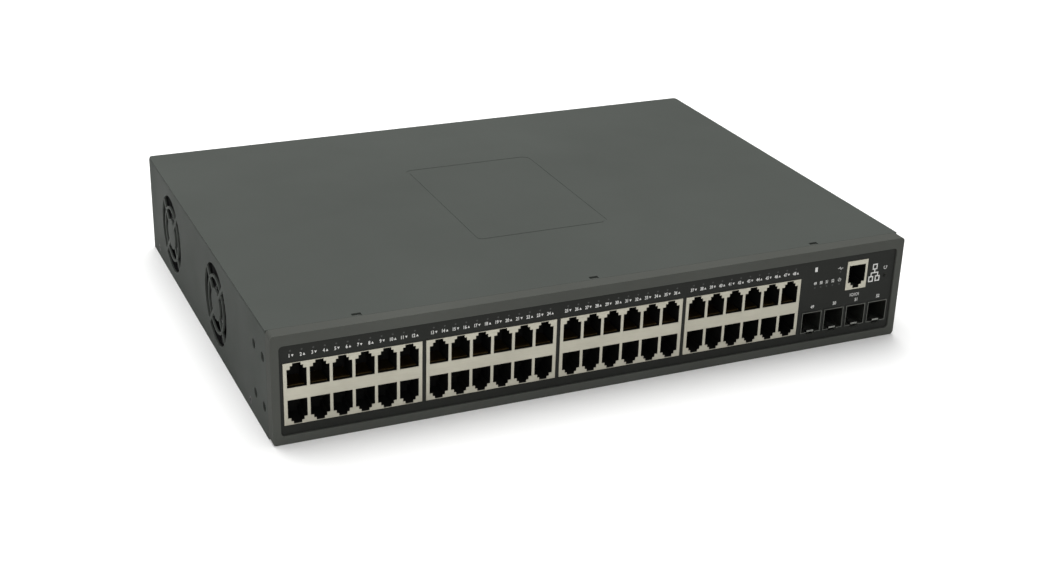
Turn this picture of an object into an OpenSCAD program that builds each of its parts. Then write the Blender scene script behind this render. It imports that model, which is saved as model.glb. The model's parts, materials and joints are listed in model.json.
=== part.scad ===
// Rack-mount network switch: a folded steel case with 48 copper ports, four SFP cages and two side fans.
// Inside the modules X runs from the left wall, Y back from the bezel's face and Z up from the floor.

/* [Case] */
// Width of the case between its outer side faces
case_w = 440; // [439:0.5:446]
// Depth from the bezel's face to the back of the inlet's flange
case_d = 325; // [322:1:360]
// Height from the floor to the top of the lid
case_h = 72; // [72:0.5:76]
// Thickness of the steel sheet
sheet = 1.2; // [1:0.1:1.4]
// Depth of the plastic bezel
bezel_depth = 9.5; // [8.5:0.5:9.5]
// Visible width of the bezel's rim at the sides
rim = 5.1; // [4:0.1:5.3]
// Visible width of the bezel's rim at the bottom
rim_low = 5.6; // [4.5:0.1:5.8]
// Visible width of the bezel's rim at the top
rim_top = 7.3; // [5.5:0.1:8]

/* [Copper ports] */
// Number of jack blocks
block_count = 4; // [1:1:4]
// Left edge of the first block
block_left = 7.5; // [7:0.1:8]
// Spacing of the blocks
block_pitch = 88.93; // [88.5:0.01:89]
// Width of a block
block_w = 86.4; // [86:0.1:86.6]
// Height of a block
block_h = 40.7; // [40.4:0.1:41.4]
// Height of a block's lower edge above the floor
block_z = 12.2; // [12:0.1:12.6]
// Sockets in one row of a block
columns = 6; // [2:1:6]
// Spacing of the sockets in a row
socket_pitch = 13.97; // [13.8:0.01:14]
// Width of a socket
socket_w = 12.07; // [11.9:0.01:12.2]
// Width of the latch notch behind the shield
notch_w = 8.1; // [7.8:0.1:8.4]
// Height of the plain strip between the two rows
strip_h = 8; // [7.6:0.1:8.6]

/* [SFP cages] */
// Number of cages
cage_count = 4; // [1:1:4]
// Left edge of the first cage
cage_left = 364.3; // [364:0.1:365]
// Spacing of the cages
cage_pitch = 17.5; // [17:0.1:17.6]
// Width of a cage
cage_w = 15.2; // [15:0.1:15.4]
// Height of a cage
cage_h = 15.1; // [14.8:0.1:15.6]
// Height of a cage's lower edge above the floor
cage_z = 12.1; // [12.1:0.1:12.5]

/* [Fans] */
// Side of the square fan frame
fan_side = 60; // [58:1:60]
// Thickness of a fan
fan_depth = 15; // [15:1:20]
// Radius of the round opening in the side wall
guard_r = 27.8; // [25:0.1:27.9]
// Distance of the front fan's axis from the bezel's face
fan_front = 131.6; // [125:0.1:140]
// Distance of the rear fan's axis from the bezel's face
fan_rear = 258.4; // [245:0.1:265]
// Number of blades on a rotor
blades = 7; // [5:1:9]

/* [Rack ear holes] */
// Radius of a rack ear screw hole
ear_hole_r = 3.2; // [2.4:0.1:3.3]
// Distance of the front holes from the bezel's face
ear_front = 17.4; // [16:0.1:18]
// Spacing of the holes from front to back
ear_dy = 19; // [18:0.1:21]
// Height of the lower holes above the floor
ear_low = 18.1; // [16:0.1:19]
// Spacing of the holes from bottom to top
ear_dz = 33.2; // [31:0.1:35]

/* [Hidden] */
$fn = 48;

seam = 0.2;                        // gap between neighbouring sheet edges
lid_seam = 0.45;                   // gap between the side walls' top edges and the lid
lid_corner = 2.5;                  // radius of the lid's two rear corners
hairline = 0.02;                   // gap between the walls of one jack housing
tray_front = bezel_depth + seam;   // front edge of the steel case
flange_t = 1.5;                    // how far the inlet's flange and the screw heads stand out at the back
rear_face = case_d - flange_t;     // outer face of the rear panel
lid_z = case_h - sheet;            // underside of the lid

recess = 1.1;                      // depth of the overlay behind the bezel's rim
film = 0.3;                        // thickness of the overlay
film_gap = 0.15;                   // gap between the overlay and the rim
rim_corner_r = 2.4;                // rounded inner corners of the rim
bezel_face = [recess + film, 3.4]; // front and back of the bezel's face plate
bezel_wall = 2.2;
bezel_lap = 1;                     // how far the bezel's frame reaches behind the overlay
window_gap = 0.25;                 // clearance of a connector in its window
panel_gap = 0.4;                   // the same in the steel front panel
panel_flange = 24;                 // back of the front panel's flange on the floor
corner_r = 2.6;                    // rounded corners of the bezel

metal = 0.4;                       // thickness of the jack shields and the SFP cages
shield_front = 0.9;
shield_back = 24;
housing_front = shield_front + metal;
socket_back = 16.3;
housing_back = 22;
socket_side = (block_w - (columns - 1) * socket_pitch - socket_w) / 2;
shoulder_z = 3.9;                  // height of the notch above the socket's body, inside the housing
notch_tip_w = 5.1;                 // the shield's notch narrows to this in its last step
notch_step = 2.1;                  // height of the notch's wider step

console_x = 396.6;
console_z = 39.1;
console_w = 16.4;
console_h = 20.9;
console_socket_w = 13.05;
console_floor = 5.1;               // height of the console socket's shoulders above its lower edge
console_roof = 3.4;
console_notch = [8.6, 4.8];        // widths of the console socket's notch, wider step first
console_step = 3.1;                // height where the notch narrows
console_sill = 0.9;                // height of the notch's lower edge

cage_back = 49;
tongue_w = 5.2;
tongue_gap = 0.4;
tongue_hinge = 15;                 // where a cage's latch tongue bends
tongue_rise = 1.3;                 // how far its front end rises into the cage
tongue_lip = 0.9;                  // height of the lip that bends down at its front end
tongue_drop = 2.1;                 // depth of the relief below each cage's mouth

board_z = 8;                       // underside of the printed circuit boards
board_t = 1.6;
board_top = board_z + board_t;
board_front = 12;
board_back = 228;
fan_zone = 24;                     // width kept free beside the left wall for the fans
console_board_z = 36.3;
status_board_y = 16;
port_led_board_y = 21;
port_led_z = 60.7;
power_light = [391.3, 44.7];
system_light = [391.3, 53.5];
status_lights = concat([for (i = [0:3]) [372.2 + i * 4.6, power_light[1]]], [power_light, system_light]);
light_pipe_r = 0.9;
led_t = 1.1;                       // thickness of a lamp on its board
led_side = 1.6;
port_led_board = [8, 361];         // ends of the two lamp boards
status_board = [368, 395.4];

reset_x = 427.6;
reset_z = 45.4;
pinhole_r = 1.2;                   // the hole in the overlay
plunger_r = 1.6;
running = 0.05;                    // radial clearance of a running fit

guard_hub_r = 11;
guard_ring = [18.3, 20.2];         // inner and outer radius of the guard's ring
guard_spoke = 2.8;                 // width of the guard's spokes
side_vent = [3, 8];                // length and height of a slot in the right side
side_vent_pitch = [6, 12];
side_vents = [32, 4];              // slots in a row, and rows
side_vent_from = [90, 15];         // front and lower end of the first slot
rear_vent = [4, 10];               // width and height of a slot in the back
rear_vent_pitch = [8, 14];
rear_vents = [28, 3];
rear_vent_from = [60, 17];
side_screw_y = [50.2, 305.2];
side_screw_z = 6.5;
hook_x = [56.4, 212.6, 375];       // the lid's slots and the bezel's hooks
hook_w = 5.2;
hook_slot = [0.8, 4.2];            // front and back of the lid's slots, from the edge of the steel case
hook_side = 0.4;                   // clearance of a hook at each side in its slot
cover_screw_x = [30, case_w / 2, case_w - 30];
cover_screw_z = case_h - 6;
lid_flange_z = case_h - 3.2;       // lower edge of the lid's side flanges
rear_flange_z = case_h - 11;       // lower edge of its rear flange
emboss = 0.25;                     // depth of the pressed frame in the lid
emboss_w = 2.4;                    // width of its groove
emboss_r = 6;                      // its rounded corners
emboss_x = [166, 264];
emboss_y = [92, 232];

fan_z = 35.3;
fan_left = sheet + 0.4;
fan_bore_r = 28;
fan_screw = fan_side / 2 - 5;      // distance of a fan's screws from its axis, both ways
blade_chord = 12;
blade_t = 1.2;
blade_tilt = 52;
blade_tip_gap = 0.7;
hub = [1, 11.6];                   // front and back of the rotor's hub, from the fan's front face
hub_shell = 1.2;
hub_r = 12.5;
shaft_r = 1.5;
bearing_r = 3;
stator_bore_r = 4.6;

power_x = [262, 432];
power_y = [236, 298];
inlet_x = 395;
inlet_z = 36;
inlet_w = 27.4;
inlet_h = 20;
inlet_screw = 20;                  // distance of the inlet's screws from its middle
inlet_blades = [[-7, -1.8], [0, 2.2], [7, -1.8]];
blade = [2, 4];                    // thickness and height of a blade
blade_end = 297;
earth_x = inlet_x - 45;
rear_foot = 14;                    // depth of the rear panel's flange on the floor
screw_r = 1.25;
csk_hole_r = 1.6;                  // hole and rim of a countersunk screw
csk_head_r = 2.8;

// A box given by its two ends along each axis.
module span(x, y, z) {
    translate([x[0], y[0], z[0]])
        cube([x[1] - x[0], y[1] - y[0], z[1] - z[0]]);
}

// A flat outline, drawn as it is seen from the front, made solid between two depths.
module upright(y) {
    translate([0, y[1], 0])
        rotate([90, 0, 0])
            linear_extrude(y[1] - y[0])
                children();
}

module pane(x, z) {
    translate([x[0], z[0]])
        square([x[1] - x[0], z[1] - z[0]]);
}

// A rectangle with rounded corners.
function corner(cx, cz, r, start) = [for (a = [0:15:90]) [cx + r * cos(start + a), cz + r * sin(start + a)]];
module soft_pane(x, z, r) {
    polygon(concat(
        corner(x[1] - r, z[1] - r, r, 0),
        corner(x[0] + r, z[1] - r, r, 90),
        corner(x[0] + r, z[0] + r, r, 180),
        corner(x[1] - r, z[0] + r, r, 270)
    ));
}

module in_case() {
    translate([-case_w / 2, -case_d / 2, 0])
        children();
}

// A cylinder along X, or along Y, that starts at the given point.
module rod_x(from, length, r) {
    translate(from)
        rotate([0, 90, 0])
            cylinder(h = length, r = r);
}

module rod_y(from, length, r) {
    translate(from)
        rotate([-90, 0, 0])
            cylinder(h = length, r = r);
}

function block_x(i) = block_left + i * block_pitch;
function socket_x(i) = socket_side + i * socket_pitch;
function cage_x(i) = cage_left + i * cage_pitch;
function cage_mid(i) = cage_x(i) + cage_w / 2;
function port_led_x(block, i) = block_x(block) + block_w / 2 + (i - columns + 0.5) * socket_pitch / 2;

// ---- Case ----

// The openings that the connectors pass through, each larger than its connector by gap.
module connector_windows(gap) {
    for (i = [0:block_count - 1])
        pane([block_x(i) - gap, block_x(i) + block_w + gap], [block_z - gap, block_z + block_h + gap]);
    for (i = [0:cage_count - 1])
        pane([cage_x(i) - gap, cage_x(i) + cage_w + gap], [cage_z - gap, cage_z + cage_h + gap]);
    tongue_reliefs();
    pane([console_x - gap, console_x + console_w + gap], [console_z - gap, console_z + console_h + gap]);
}

// The notches below the cages, where their latch tongues move.
module tongue_reliefs() {
    reach = tongue_w / 2 + tongue_gap + 0.2;
    for (i = [0:cage_count - 1])
        pane([cage_mid(i) - reach, cage_mid(i) + reach], [cage_z - tongue_drop, cage_z]);
}

// What is left of a rectangle around the connector windows: bars, as [x, z] ranges, a hairline apart.
function face_bars(x, z, gap) =
    let (
        low = min(block_z, cage_z) - gap,
        block_top = block_z + block_h + gap,
        block_end = block_x(block_count - 1) + block_w + gap,
        cage_top = cage_z + cage_h + gap,
        cage_end = cage_x(cage_count - 1) + cage_w + gap,
        console_ends = [console_x - gap, console_x + console_w + gap],
        console_low = console_z - gap,
        console_top = console_z + console_h + gap,
        above_cages = cage_top + hairline,
        side = [low + hairline, block_top],
        beside_cage = [low + hairline, cage_top]
    )
    concat(
        [
            [x, [z[0], low]],
            [[x[0], block_x(0) - gap], side],
            [[x[0], console_ends[0]], [block_top + hairline, z[1]]],
            [[block_end, cage_x(0) - gap], beside_cage],
            [[block_end, console_ends[0]], [above_cages, block_top]],
            [[console_ends[0] + hairline, x[1]], [above_cages, console_low]],
            [[console_ends[1], x[1]], [console_low + hairline, z[1]]],
            [[console_ends[0] + hairline, console_ends[1] - hairline], [console_top, z[1]]],
            [[cage_end, x[1]], beside_cage]
        ],
        [for (i = [0:1:block_count - 2]) [[block_x(i) + block_w + gap, block_x(i + 1) - gap], side]],
        [for (i = [0:1:cage_count - 2]) [[cage_x(i) + cage_w + gap, cage_x(i + 1) - gap], beside_cage]]
    );

// The slots that the light pipes pass through.
module light_slots(gap) {
    reach = light_pipe_r + 0.1 + gap;
    for (i = [0:block_count - 1])
        pane([port_led_x(i, 0) - reach, port_led_x(i, 2 * columns - 1) + reach],
             [port_led_z - reach, port_led_z + reach]);
    pane([status_lights[0][0] - reach, power_light[0] + reach],
         [power_light[1] - reach, power_light[1] + reach]);
    pane([system_light[0] - reach, system_light[0] + reach],
         [system_light[1] - reach, system_light[1] + reach]);
}

module ear_holes(x) {
    for (y = [ear_front, ear_front + ear_dy], z = [ear_low, ear_low + ear_dz])
        rod_x([x, y, z], 3 * sheet, ear_hole_r);
}

// A punched finger guard: what is cut out of the wall around a hub, a ring and four spokes.
module guard_cut(y) {
    difference() {
        rod_x([-sheet, y, fan_z], 3 * sheet, guard_r);
        rod_x([-2 * sheet, y, fan_z], 5 * sheet, guard_hub_r);
        difference() {
            rod_x([-2 * sheet, y, fan_z], 5 * sheet, guard_ring[1]);
            rod_x([-3 * sheet, y, fan_z], 7 * sheet, guard_ring[0]);
        }
        for (a = [45:90:315])
            translate([-2 * sheet, y, fan_z])
                rotate([a, 0, 0])
                    translate([0, -guard_spoke / 2, 0])
                        cube([5 * sheet, guard_spoke, guard_r + 2]);
    }
}

// Rows of slots opposite the fans.
module side_vents() {
    for (row = [0:side_vents[1] - 1], i = [0:side_vents[0] - 1])
        translate([case_w - 2 * sheet, side_vent_from[0] + i * side_vent_pitch[0],
                   side_vent_from[1] + row * side_vent_pitch[1]])
            cube([3 * sheet, side_vent[0], side_vent[1]]);
}

module base_tray() {
    color("#50524f")
        in_case()
            difference() {
                union() {
                    span([0, case_w], [tray_front, rear_face], [0, sheet]);
                    for (x = [0, case_w - sheet])
                        span([x, x + sheet], [tray_front, rear_face], [0, lid_z - lid_seam]);
                }
                ear_holes(-sheet);
                ear_holes(case_w - 2 * sheet);
                for (y = [fan_front, fan_rear])
                    guard_cut(y);
                side_vents();
                for (y = side_screw_y, turn = [1, -1])
                    translate([turn > 0 ? 0 : case_w, y, side_screw_z])
                        rotate([0, 90 * turn, 0])
                            countersunk_hole();
            }
}

// What is cut away for a countersunk screw along Z.
module countersunk_hole() {
    cylinder(h = 1, r1 = csk_head_r, r2 = csk_hole_r);
    translate([0, 0, -1])
        cylinder(h = 4, r = csk_hole_r);
}

// The lid: its top sheet, with the side and rear flanges a hairline below it.
module top_cover() {
    flange_top = lid_z - hairline;
    color("#565854")
        in_case() {
            difference() {
                translate([0, 0, lid_z])
                    linear_extrude(sheet)
                        lid_outline();
                for (x = hook_x)
                    span([x - hook_w / 2 - hook_side, x + hook_w / 2 + hook_side],
                         [tray_front + hook_slot[0], tray_front + hook_slot[1]], [lid_z - 1, case_h + 1]);
                embossed_panel(case_h - emboss, case_h + 1);
            }
            for (x = [sheet + seam, case_w - 2 * sheet - seam])
                span([x, x + sheet], [14, rear_face - 3 * sheet], [lid_flange_z, flange_top]);
            difference() {
                span([16, case_w - 16], [rear_face - 2 * sheet - seam, rear_face - sheet - seam],
                     [rear_flange_z, flange_top]);
                for (x = cover_screw_x)
                    rod_y([x, rear_face - 4 * sheet, cover_screw_z], 4 * sheet, screw_r + running);
            }
        }
}

// The lid's outline, rounded at its rear corners.
module lid_outline() {
    polygon(concat(
        [[0, tray_front], [case_w, tray_front]],
        corner(case_w - lid_corner, rear_face - lid_corner, lid_corner, 0),
        corner(lid_corner, rear_face - lid_corner, lid_corner, 90)
    ));
}

// The shallow pressed frame in the middle of the lid.
module embossed_panel(z_low, z_high) {
    translate([0, 0, z_low])
        linear_extrude(z_high - z_low)
            difference() {
                soft_pane(emboss_x, emboss_y, emboss_r);
                soft_pane([emboss_x[0] + emboss_w, emboss_x[1] - emboss_w],
                          [emboss_y[0] + emboss_w, emboss_y[1] - emboss_w], emboss_r - emboss_w);
            }
}

// The bezel: its outer frame, and the bars of its face plate behind the overlay.
module front_bezel() {
    plate_x = [rim + bezel_lap, case_w - rim - bezel_lap];
    plate_z = [rim_low + bezel_lap, case_h - rim_top - bezel_lap];
    color("#4a4b47")
        in_case() {
            union() {
                upright([0, bezel_face[0]])
                    difference() {
                        soft_pane([0, case_w], [0, case_h], corner_r);
                        soft_pane([rim, case_w - rim], [rim_low, case_h - rim_top], rim_corner_r);
                    }
                upright(bezel_face)
                    difference() {
                        soft_pane([0, case_w], [0, case_h], corner_r);
                        pane(plate_x, plate_z);
                    }
                upright([bezel_face[1], bezel_depth])
                    difference() {
                        soft_pane([0, case_w], [0, case_h], corner_r);
                        pane([bezel_wall, case_w - bezel_wall], [bezel_wall, case_h - bezel_wall]);
                    }
                for (x = hook_x)
                    bezel_hook([x - hook_w / 2, x + hook_w / 2]);
            }
            difference() {
                for (bar = face_bars([plate_x[0] + hairline, plate_x[1] - hairline],
                                     [plate_z[0] + hairline, plate_z[1] - hairline], window_gap))
                    span(bar[0], bezel_face, bar[1]);
                upright([bezel_face[0] - 1, bezel_face[1] + 1]) {
                    tongue_reliefs();
                    light_slots(0);
                    translate([reset_x, reset_z])
                        circle(r = pinhole_r + 0.1);
                }
            }
        }
}

// A tongue under the lid with a barb that rises into the lid's slot.
module bezel_hook(x) {
    root = bezel_depth - 1.5;
    span(x, [root, tray_front + 3], [lid_z - 2, lid_z - 0.3]);
    span(x, [root, bezel_depth], [lid_z - 4, lid_z]);
    span(x, [tray_front + 1.3, tray_front + 2.9], [lid_z - 1, case_h - 0.7]);
}

module front_overlay() {
    color("#2a2b28")
        in_case()
            upright([recess, recess + film])
                difference() {
                    soft_pane([rim + film_gap, case_w - rim - film_gap],
                              [rim_low + film_gap, case_h - rim_top - film_gap], rim_corner_r - 0.1);
                    connector_windows(window_gap);
                    translate([reset_x, reset_z])
                        circle(r = pinhole_r);
                }
}

// The steel panel behind the bezel: bars around the windows, a floor flange and tabs under the console board.
module front_panel() {
    x = [sheet + seam, case_w - sheet - seam];
    back = tray_front + sheet;
    color("#8b8d8c")
        in_case() {
            difference() {
                for (bar = face_bars(x, [sheet, lid_z - 3.2], panel_gap))
                    span(bar[0], [tray_front, back], bar[1]);
                upright([tray_front - 1, back + 1]) {
                    tongue_reliefs();
                    light_slots(panel_gap);
                    translate([reset_x, reset_z])
                        circle(r = plunger_r + panel_gap);
                }
            }
            span(x, [back + hairline, panel_flange], [sheet, 2 * sheet]);
            for (tab = [366, 430])
                span([tab, tab + 6], [back + hairline, 17], [console_board_z - sheet, console_board_z]);
        }
}

module rear_panel() {
    color("#50524f")
        in_case()
            union() {
                upright([rear_face - sheet, rear_face])
                    difference() {
                        pane([sheet, case_w - sheet], [sheet, lid_z - seam]);
                        pane([inlet_x - inlet_w / 2 - 0.3, inlet_x + inlet_w / 2 + 0.3],
                             [inlet_z - inlet_h / 2 - 0.5, inlet_z + inlet_h / 2 + 0.5]);
                        for (side = [-inlet_screw, inlet_screw])
                            translate([inlet_x + side, inlet_z])
                                circle(r = csk_hole_r);
                        translate([earth_x, inlet_z])
                            circle(r = 2.1);
                        for (x = cover_screw_x)
                            translate([x, cover_screw_z])
                                circle(r = 1.7);
                        for (i = [0:rear_vents[0] - 1], row = [0:rear_vents[1] - 1])
                            translate(rear_vent_from + [i * rear_vent_pitch[0], row * rear_vent_pitch[1]])
                                square(rear_vent);
                    }
                span([sheet + seam, case_w - sheet - seam], [rear_face - rear_foot, rear_face - sheet],
                     [sheet, 2 * sheet]);
            }
}

// ---- Copper ports ----

// A socket's outline with its latch notch up, its floor in the middle of the block's height.
module socket_outline() {
    floor = strip_h / 2;
    body_top = block_h / 2 - metal - shoulder_z;
    pane([0, socket_w], [floor, body_top]);
    pane([(socket_w - notch_w) / 2, (socket_w + notch_w) / 2], [body_top - 0.01, body_top + notch_step]);
    pane([(socket_w - notch_tip_w) / 2, (socket_w + notch_tip_w) / 2],
         [body_top + notch_step - 0.01, block_h / 2 - metal]);
}

module jack_shield() {
    upright([shield_front, housing_front])
        difference() {
            pane([0, block_w], [-block_h / 2, block_h / 2]);
            for (side = [0, 1])
                mirror([0, side])
                    for (i = [0:columns - 1])
                        translate([socket_x(i), 0])
                            socket_outline();
        }
    span([0, block_w], [housing_front, shield_back], [block_h / 2 - metal, block_h / 2]);
    for (x = [0, block_w - metal])
        span([x, x + metal], [housing_front, shield_back], [-block_h / 2, block_h / 2]);
    span([0, block_w], [housing_front, board_front - 0.5], [-block_h / 2, -block_h / 2 + metal]);
}

// A housing: the plain strip, the back, and the posts and shoulders between the sockets of both rows.
module jack_housing(block) {
    inside = [metal + hairline, block_w - metal - hairline];
    top = block_h / 2 - metal - hairline;
    body_top = block_h / 2 - metal - shoulder_z;
    edge = strip_h / 2;
    color("#1b1b1a")
        in_case()
            translate([block_x(block), 0, block_z + block_h / 2]) {
                span(inside, [housing_front + hairline, socket_back], [-edge, edge]);
                span(inside, [socket_back + hairline, housing_back], [-top, top]);
                span(inside, [board_front + 1, housing_back],
                     [board_top - block_z - block_h / 2 + hairline, -top - hairline]);
                for (side = [0, 1])
                    mirror([0, 0, side])
                        for (i = [0:columns])
                            socket_divider(i, inside, edge, body_top, top);
            }
}

// The post between two sockets and the shoulder that ends it beside the latch notches.
module socket_divider(i, inside, edge, body_top, top) {
    depth = [housing_front + hairline, socket_back];
    left = socket_x(i - 1) + socket_w;
    right = socket_x(i);
    margin = (socket_w - notch_w) / 2;
    span([max(left, inside[0]), min(right, inside[1])], depth, [edge + hairline, body_top]);
    span([max(left - margin, inside[0]), min(right + margin, inside[1])], depth, [body_top + hairline, top]);
}

module jack_shields() {
    color("#bdbbae")
        in_case()
            for (i = [0:block_count - 1])
                translate([block_x(i), 0, block_z + block_h / 2])
                    jack_shield();
}

// Eight spring wires that rise from their carrier, on the socket's floor opposite its notch.
module contact_comb() {
    span([-5.2, 5.2], [3.5, socket_back - 0.1], [0.05, 0.6]);
    for (i = [-3.5:1:3.5])
        translate([i * 1.02 - 0.2, 4.2, 0.35])
            rotate([12, 0, 0])
                cube([0.4, 9, 0.3]);
}

module jack_contacts() {
    color("#b39545")
        in_case() {
            for (block = [0:block_count - 1], i = [0:columns - 1], side = [0, 1])
                translate([block_x(block) + socket_x(i) + socket_w / 2, 0, block_z + block_h / 2])
                    mirror([0, 0, side])
                        translate([0, 0, strip_h / 2])
                            contact_comb();
            translate([console_x + console_w / 2, 0, console_z + console_h - console_roof])
                mirror([0, 0, 1])
                    contact_comb();
        }
}

// ---- Console port ----

module console_outline() {
    mid = console_w / 2;
    pane([mid - console_socket_w / 2, mid + console_socket_w / 2], [console_floor, console_h - console_roof]);
    pane([mid - console_notch[0] / 2, mid + console_notch[0] / 2], [console_step, console_floor + 0.01]);
    pane([mid - console_notch[1] / 2, mid + console_notch[1] / 2], [console_sill, console_step + 0.01]);
}

module console_shield() {
    color("#bdbbae")
        in_case()
            translate([console_x, 0, console_z]) {
                upright([shield_front, housing_front])
                    difference() {
                        pane([0, console_w], [0, console_h]);
                        console_outline();
                    }
                for (x = [0, console_w - metal])
                    span([x, x + metal], [housing_front, shield_back], [0, console_h]);
                span([0, console_w], [housing_front, shield_back], [console_h - metal, console_h]);
            }
}

module console_housing() {
    mid = console_w / 2;
    low = console_board_z + board_t - console_z;
    depth = [housing_front + hairline, socket_back];
    inside = [metal + hairline, console_w - metal - hairline];
    body = [mid - console_socket_w / 2, mid + console_socket_w / 2];
    notch = [mid - console_notch[0] / 2, mid + console_notch[0] / 2];
    roof = console_h - console_roof;
    top = console_h - metal - hairline;
    color("#1b1b1a")
        in_case()
            translate([console_x, 0, console_z]) {
                span(inside, [socket_back + hairline, housing_back], [console_sill, top]);
                span(inside, [board_front + 1, housing_back], [low + hairline, console_sill - hairline]);
                span(inside, depth, [roof + hairline, top]);
                span([inside[0], body[0]], depth, [console_sill, roof]);
                span([body[1], inside[1]], depth, [console_sill, roof]);
                span([body[0] + hairline, notch[0]], depth, [console_sill, console_floor]);
                span([notch[1], body[1] - hairline], depth, [console_sill, console_floor]);
            }
}

// ---- SFP cages ----

module sfp_cage(i) {
    slot = tongue_w / 2 + tongue_gap;
    color("#84867f")
        in_case()
            translate([cage_x(i), 0, cage_z])
                difference() {
                    union() {
                        span([0, cage_w], [shield_front - 0.2, cage_back], [0, cage_h]);
                        for (x = [1, cage_w - 1.8], y = [16, 30, 44])
                            span([x, x + 0.8], [y, y + 0.4], [board_top - cage_z, 0.2]);
                    }
                    span([metal, cage_w - metal], [-1, cage_back - metal], [metal, cage_h - metal]);
                    span([cage_w / 2 - slot, cage_w / 2 + slot], [-1, tongue_hinge + tongue_gap],
                         [-1, metal + 0.1]);
                    span([metal + 1.6, cage_w - metal - 1.6], [36, cage_back + 1], [-1, metal + 0.1]);
                }
}

// The sprung tongue that rises from a cage's floor, with its lock hole and its bent-down lip.
module sfp_latch(i) {
    lip_z = tongue_rise - tongue_lip;
    color("#a7a9a2")
        in_case()
            translate([cage_mid(i), 0, cage_z])
                difference() {
                    translate([-tongue_w / 2, 0, 0])
                        rotate([90, 0, 90])
                            linear_extrude(tongue_w)
                                polygon([[tongue_hinge, 0], [tongue_hinge, metal],
                                         [shield_front, tongue_rise + metal], [shield_front, lip_z],
                                         [shield_front + metal, lip_z], [shield_front + metal, tongue_rise]]);
                    translate([0, 8.4, -1])
                        rotate([0, 0, 90])
                            cylinder(h = 4, r = 1.8, $fn = 3);
                }
}

module sfp_connectors() {
    color("#22211f")
        in_case()
            for (i = [0:cage_count - 1])
                translate([cage_mid(i), 0, 0])
                    difference() {
                        span([-5.6, 5.6], [39, 46], [board_top, cage_z + 6.6]);
                        span([-4.8, 4.8], [38, 43], [cage_z + 3.2, cage_z + 4.4]);
                    }
}

// ---- Reset ----

module reset_plunger() {
    color("#e8e6df")
        in_case()
            union() {
                rod_y([reset_x, 4.4, reset_z], 10.6, plunger_r);
                rod_y([reset_x, tray_front + sheet + 0.3, reset_z], 0.5, 2.5);
            }
}

module reset_switch() {
    front = tray_front + sheet + 1.7;
    color("#2c2c2e")
        in_case()
            difference() {
                span([reset_x - 3, reset_x + 3], [front, front + 5],
                     [console_board_z + board_t, reset_z + 3.4]);
                rod_y([reset_x, front - 1, reset_z], 4.4, plunger_r + running);
            }
}

// ---- Boards ----

standoff_main = [[28, 56], [150, 58], [280, 58], [420, 80], [36, 220], [150, 214], [280, 214], [428, 214]];
standoff_power = [[268, 242], [426, 242], [268, 291], [355, 291]];
standoff_console = [[372, 58], [430, 58]];

module board_holes(places) {
    for (p = places)
        translate([p[0], p[1]])
            circle(r = 1.6);
}

module main_board() {
    color("#2f5d3a")
        in_case()
            translate([0, 0, board_z])
                linear_extrude(board_t)
                    difference() {
                        polygon([[4, board_front], [436, board_front], [436, board_back],
                                 [fan_zone, board_back], [fan_zone, 94], [4, 94]]);
                        board_holes(standoff_main);
                    }
}

module console_board() {
    color("#2f5d3a")
        in_case()
            translate([0, 0, console_board_z])
                linear_extrude(board_t)
                    difference() {
                        translate([366, board_front])
                            square([70, 52]);
                        board_holes(standoff_console);
                    }
}

module led_boards() {
    color("#2f5d3a")
        in_case() {
            span(port_led_board, [port_led_board_y, port_led_board_y + board_t],
                 [block_z + block_h, port_led_z + 5]);
            span(status_board, [status_board_y, status_board_y + board_t],
                 [console_board_z + board_t, system_light[1] + 6]);
        }
}

// A light pipe from behind the overlay to its lamp on a board.
module light_pipe(x, z, board_y) {
    front = bezel_face[0] + 0.1;
    rod_y([x, front, z], board_y - led_t - 0.1 - front, light_pipe_r);
}

module light_pipes() {
    color("#d9dcd8", 0.6)
        in_case() {
            for (block = [0:block_count - 1], i = [0:2 * columns - 1])
                light_pipe(port_led_x(block, i), port_led_z, port_led_board_y);
            for (p = status_lights)
                light_pipe(p[0], p[1], status_board_y);
        }
}

module board_led(x, z, board_y) {
    translate([x - led_side / 2, board_y - led_t, z - led_side / 2])
        cube([led_side, led_t, led_side]);
}

module board_leds() {
    color("#eef0dc")
        in_case() {
            for (block = [0:block_count - 1], i = [0:2 * columns - 1])
                board_led(port_led_x(block, i), port_led_z, port_led_board_y);
            for (p = status_lights)
                board_led(p[0], p[1], status_board_y);
        }
}

chip_x = [118, 236];
chip_y = 128;
fin_count = 10;
fin_t = 1.2;

module switch_chips() {
    color("#2b2b2d")
        in_case()
            for (x = chip_x)
                translate([x, chip_y, board_top + 1.2])
                    cube([35, 35, 2.4], center = true);
}

module heatsinks() {
    side = 44;
    base_z = board_top + 2.4;
    color("#9a9ca0")
        in_case()
            for (x = chip_x)
                translate([x - side / 2, chip_y - side / 2, base_z]) {
                    cube([side, side, 3]);
                    for (i = [0:fin_count - 1])
                        translate([i * (side - fin_t) / (fin_count - 1), 0, 2.9])
                            cube([fin_t, side, 19]);
                }
}

module phy_chips() {
    color("#2b2b2d")
        in_case()
            for (i = [0:5])
                translate([44 + i * 58, 76, board_top + 0.7])
                    cube([20, 20, 1.4], center = true);
}

module memory_chips() {
    color("#303034")
        in_case() {
            for (i = [0:3])
                translate([318 + i * 15, 150, board_top + 0.6])
                    cube([10, 14, 1.2], center = true);
            translate([340, 112, board_top + 1.1])
                cube([27, 27, 2.2], center = true);
            translate([392, 112, board_top + 0.9])
                cube([12, 18, 1.8], center = true);
        }
}

module lan_magnetics() {
    color("#1f1f21")
        in_case()
            for (i = [0:11])
                span([14 + i * 29.2, 38 + i * 29.2], [30, 46], [board_top, board_top + 6.2]);
}

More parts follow.
